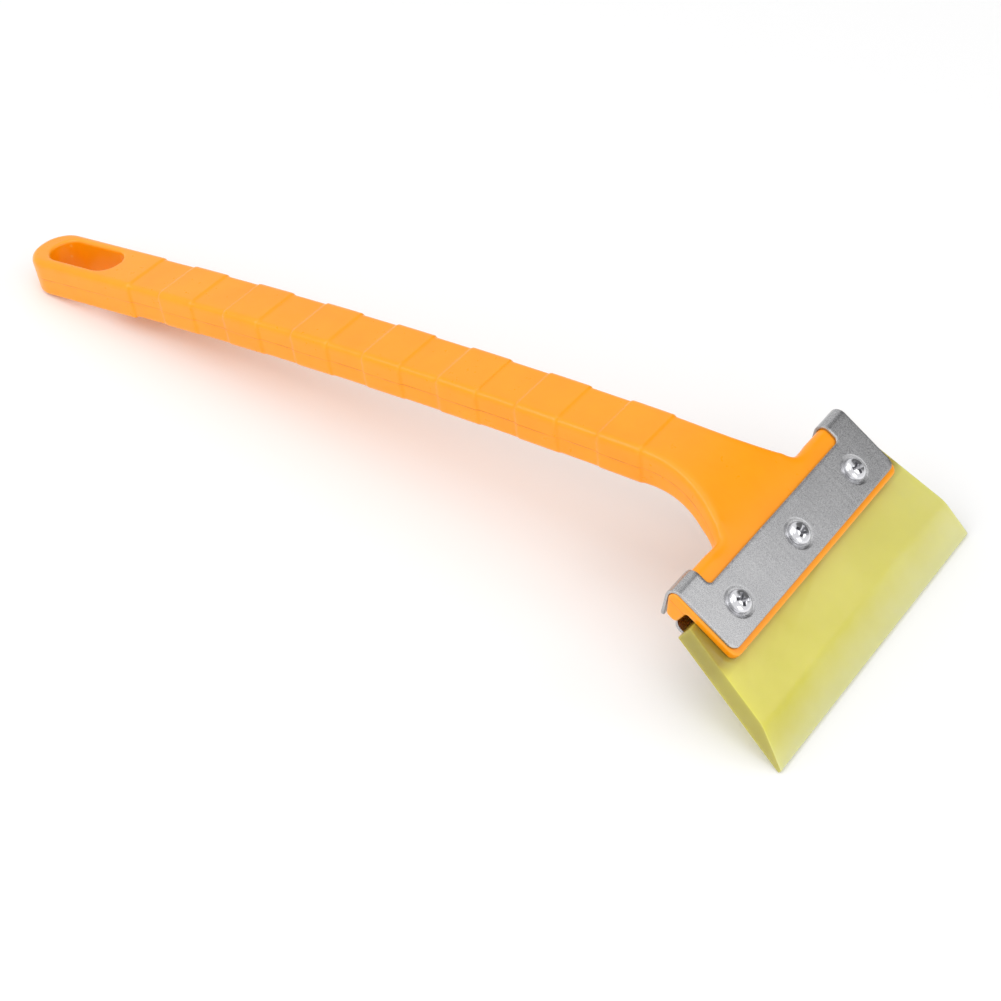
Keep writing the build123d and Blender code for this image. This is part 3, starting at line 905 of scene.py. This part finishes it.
def add_camera():
    """Camera that looks at its aim from an azimuth and an elevation, in metres and degrees."""
    azimuth = math.radians(CAMERA_AZIMUTH)
    elevation = math.radians(CAMERA_ELEVATION)
    roll = math.radians(CAMERA_ROLL)
    level = math.cos(elevation)
    back = Vector((math.sin(azimuth) * level, -math.cos(azimuth) * level, math.sin(elevation)))
    side = Vector((math.cos(azimuth), math.sin(azimuth), 0))
    upward = back.cross(side)
    right = side * math.cos(roll) + upward * math.sin(roll)
    top = back.cross(right)
    data = bpy.data.cameras.new("camera")
    data.lens = CAMERA_LENS
    data.clip_start = CAMERA_NEAR
    camera = bpy.data.objects.new("camera", data)
    place = Matrix.Translation(Vector(CAMERA_AIM) + back * CAMERA_DISTANCE)
    camera.matrix_world = place @ Matrix((right, top, back)).transposed().to_4x4()
    bpy.context.scene.collection.objects.link(camera)
    bpy.context.scene.camera = camera


def add_softbox(name, place, aim, size, power):
    """White rectangular light that faces its aim."""
    data = bpy.data.lights.new(name, "AREA")
    data.shape = "RECTANGLE"
    data.size, data.size_y = size
    data.energy = power
    lamp = bpy.data.objects.new(name, data)
    lamp.location = place
    lamp.rotation_mode = "QUATERNION"
    lamp.rotation_quaternion = (Vector(aim) - Vector(place)).to_track_quat("-Z", "Y")
    bpy.context.scene.collection.objects.link(lamp)


def studio_world():
    """Even white surroundings, with a soft dark card behind the tool that only reflections show."""
    world = bpy.data.worlds.new("studio")
    world.use_nodes = True
    tree = world.node_tree
    where = tree.nodes.new("ShaderNodeTexCoord").outputs["Generated"]
    toward = tree.nodes.new("ShaderNodeVectorMath")
    toward.operation = "DOT_PRODUCT"
    tree.links.new(where, toward.inputs[0])
    toward.inputs[1].default_value = Vector(CARD_DIRECTION).normalized()
    fade = tree.nodes.new("ShaderNodeMapRange")
    tree.links.new(toward.outputs["Value"], fade.inputs["Value"])
    fade.inputs["From Min"].default_value = CARD_START
    fade.inputs["From Max"].default_value = CARD_FULL
    fade.inputs["To Min"].default_value = WORLD_STRENGTH
    fade.inputs["To Max"].default_value = CARD_STRENGTH
    brighter = tree.nodes.new("ShaderNodeMath")
    brighter.operation = "MAXIMUM"
    tree.links.new(fade.outputs["Result"], brighter.inputs[0])
    tree.links.new(tree.nodes.new("ShaderNodeLightPath").outputs["Is Camera Ray"], brighter.inputs[1])
    tree.links.new(brighter.outputs[0], tree.nodes["Background"].inputs["Strength"])
    tree.nodes["Background"].inputs["Color"].default_value = (1.0, 1.0, 1.0, 1.0)
    return world


def add_stage():
    """Pale paper floor, white surroundings and four softboxes."""
    paper = Shader("floor_paper")
    paper.set(Base_Color=(FLOOR_SHADE, FLOOR_SHADE, FLOOR_SHADE, 1.0), Roughness=FLOOR_ROUGHNESS)
    corners = [(-FLOOR_HALF, -FLOOR_HALF, 0), (FLOOR_HALF, -FLOOR_HALF, 0)]
    corners += [(FLOOR_HALF, FLOOR_HALF, 0), (-FLOOR_HALF, FLOOR_HALF, 0)]
    floor = link("floor", new_mesh("floor", corners, [(0, 1, 2, 3)]), paper.material)
    bpy.context.scene.world = studio_world()
    bpy.context.scene.view_settings.view_transform = "Standard"
    middle = (cad_low + cad_high) / 2
    for name, (place, size, power) in SOFTBOXES.items():
        add_softbox(name, place, middle, size, power)


# --- the tool ---------------------------------------------------------------------------------

orange = plastic()
steel = rolled_steel()
bright = chrome()
build_handle(orange)
build_top_plate(steel)
build_lower_plate(steel)
build_blade(urethane())
for side in SCREWS:
    build_screw(side, bright)
dull = zinc()
for side in SCREWS:
    nut = frame["nodes"]["nut_" + side]
    nut.data.materials.clear()
    nut.data.materials.append(dull)
add_stage()
add_camera()
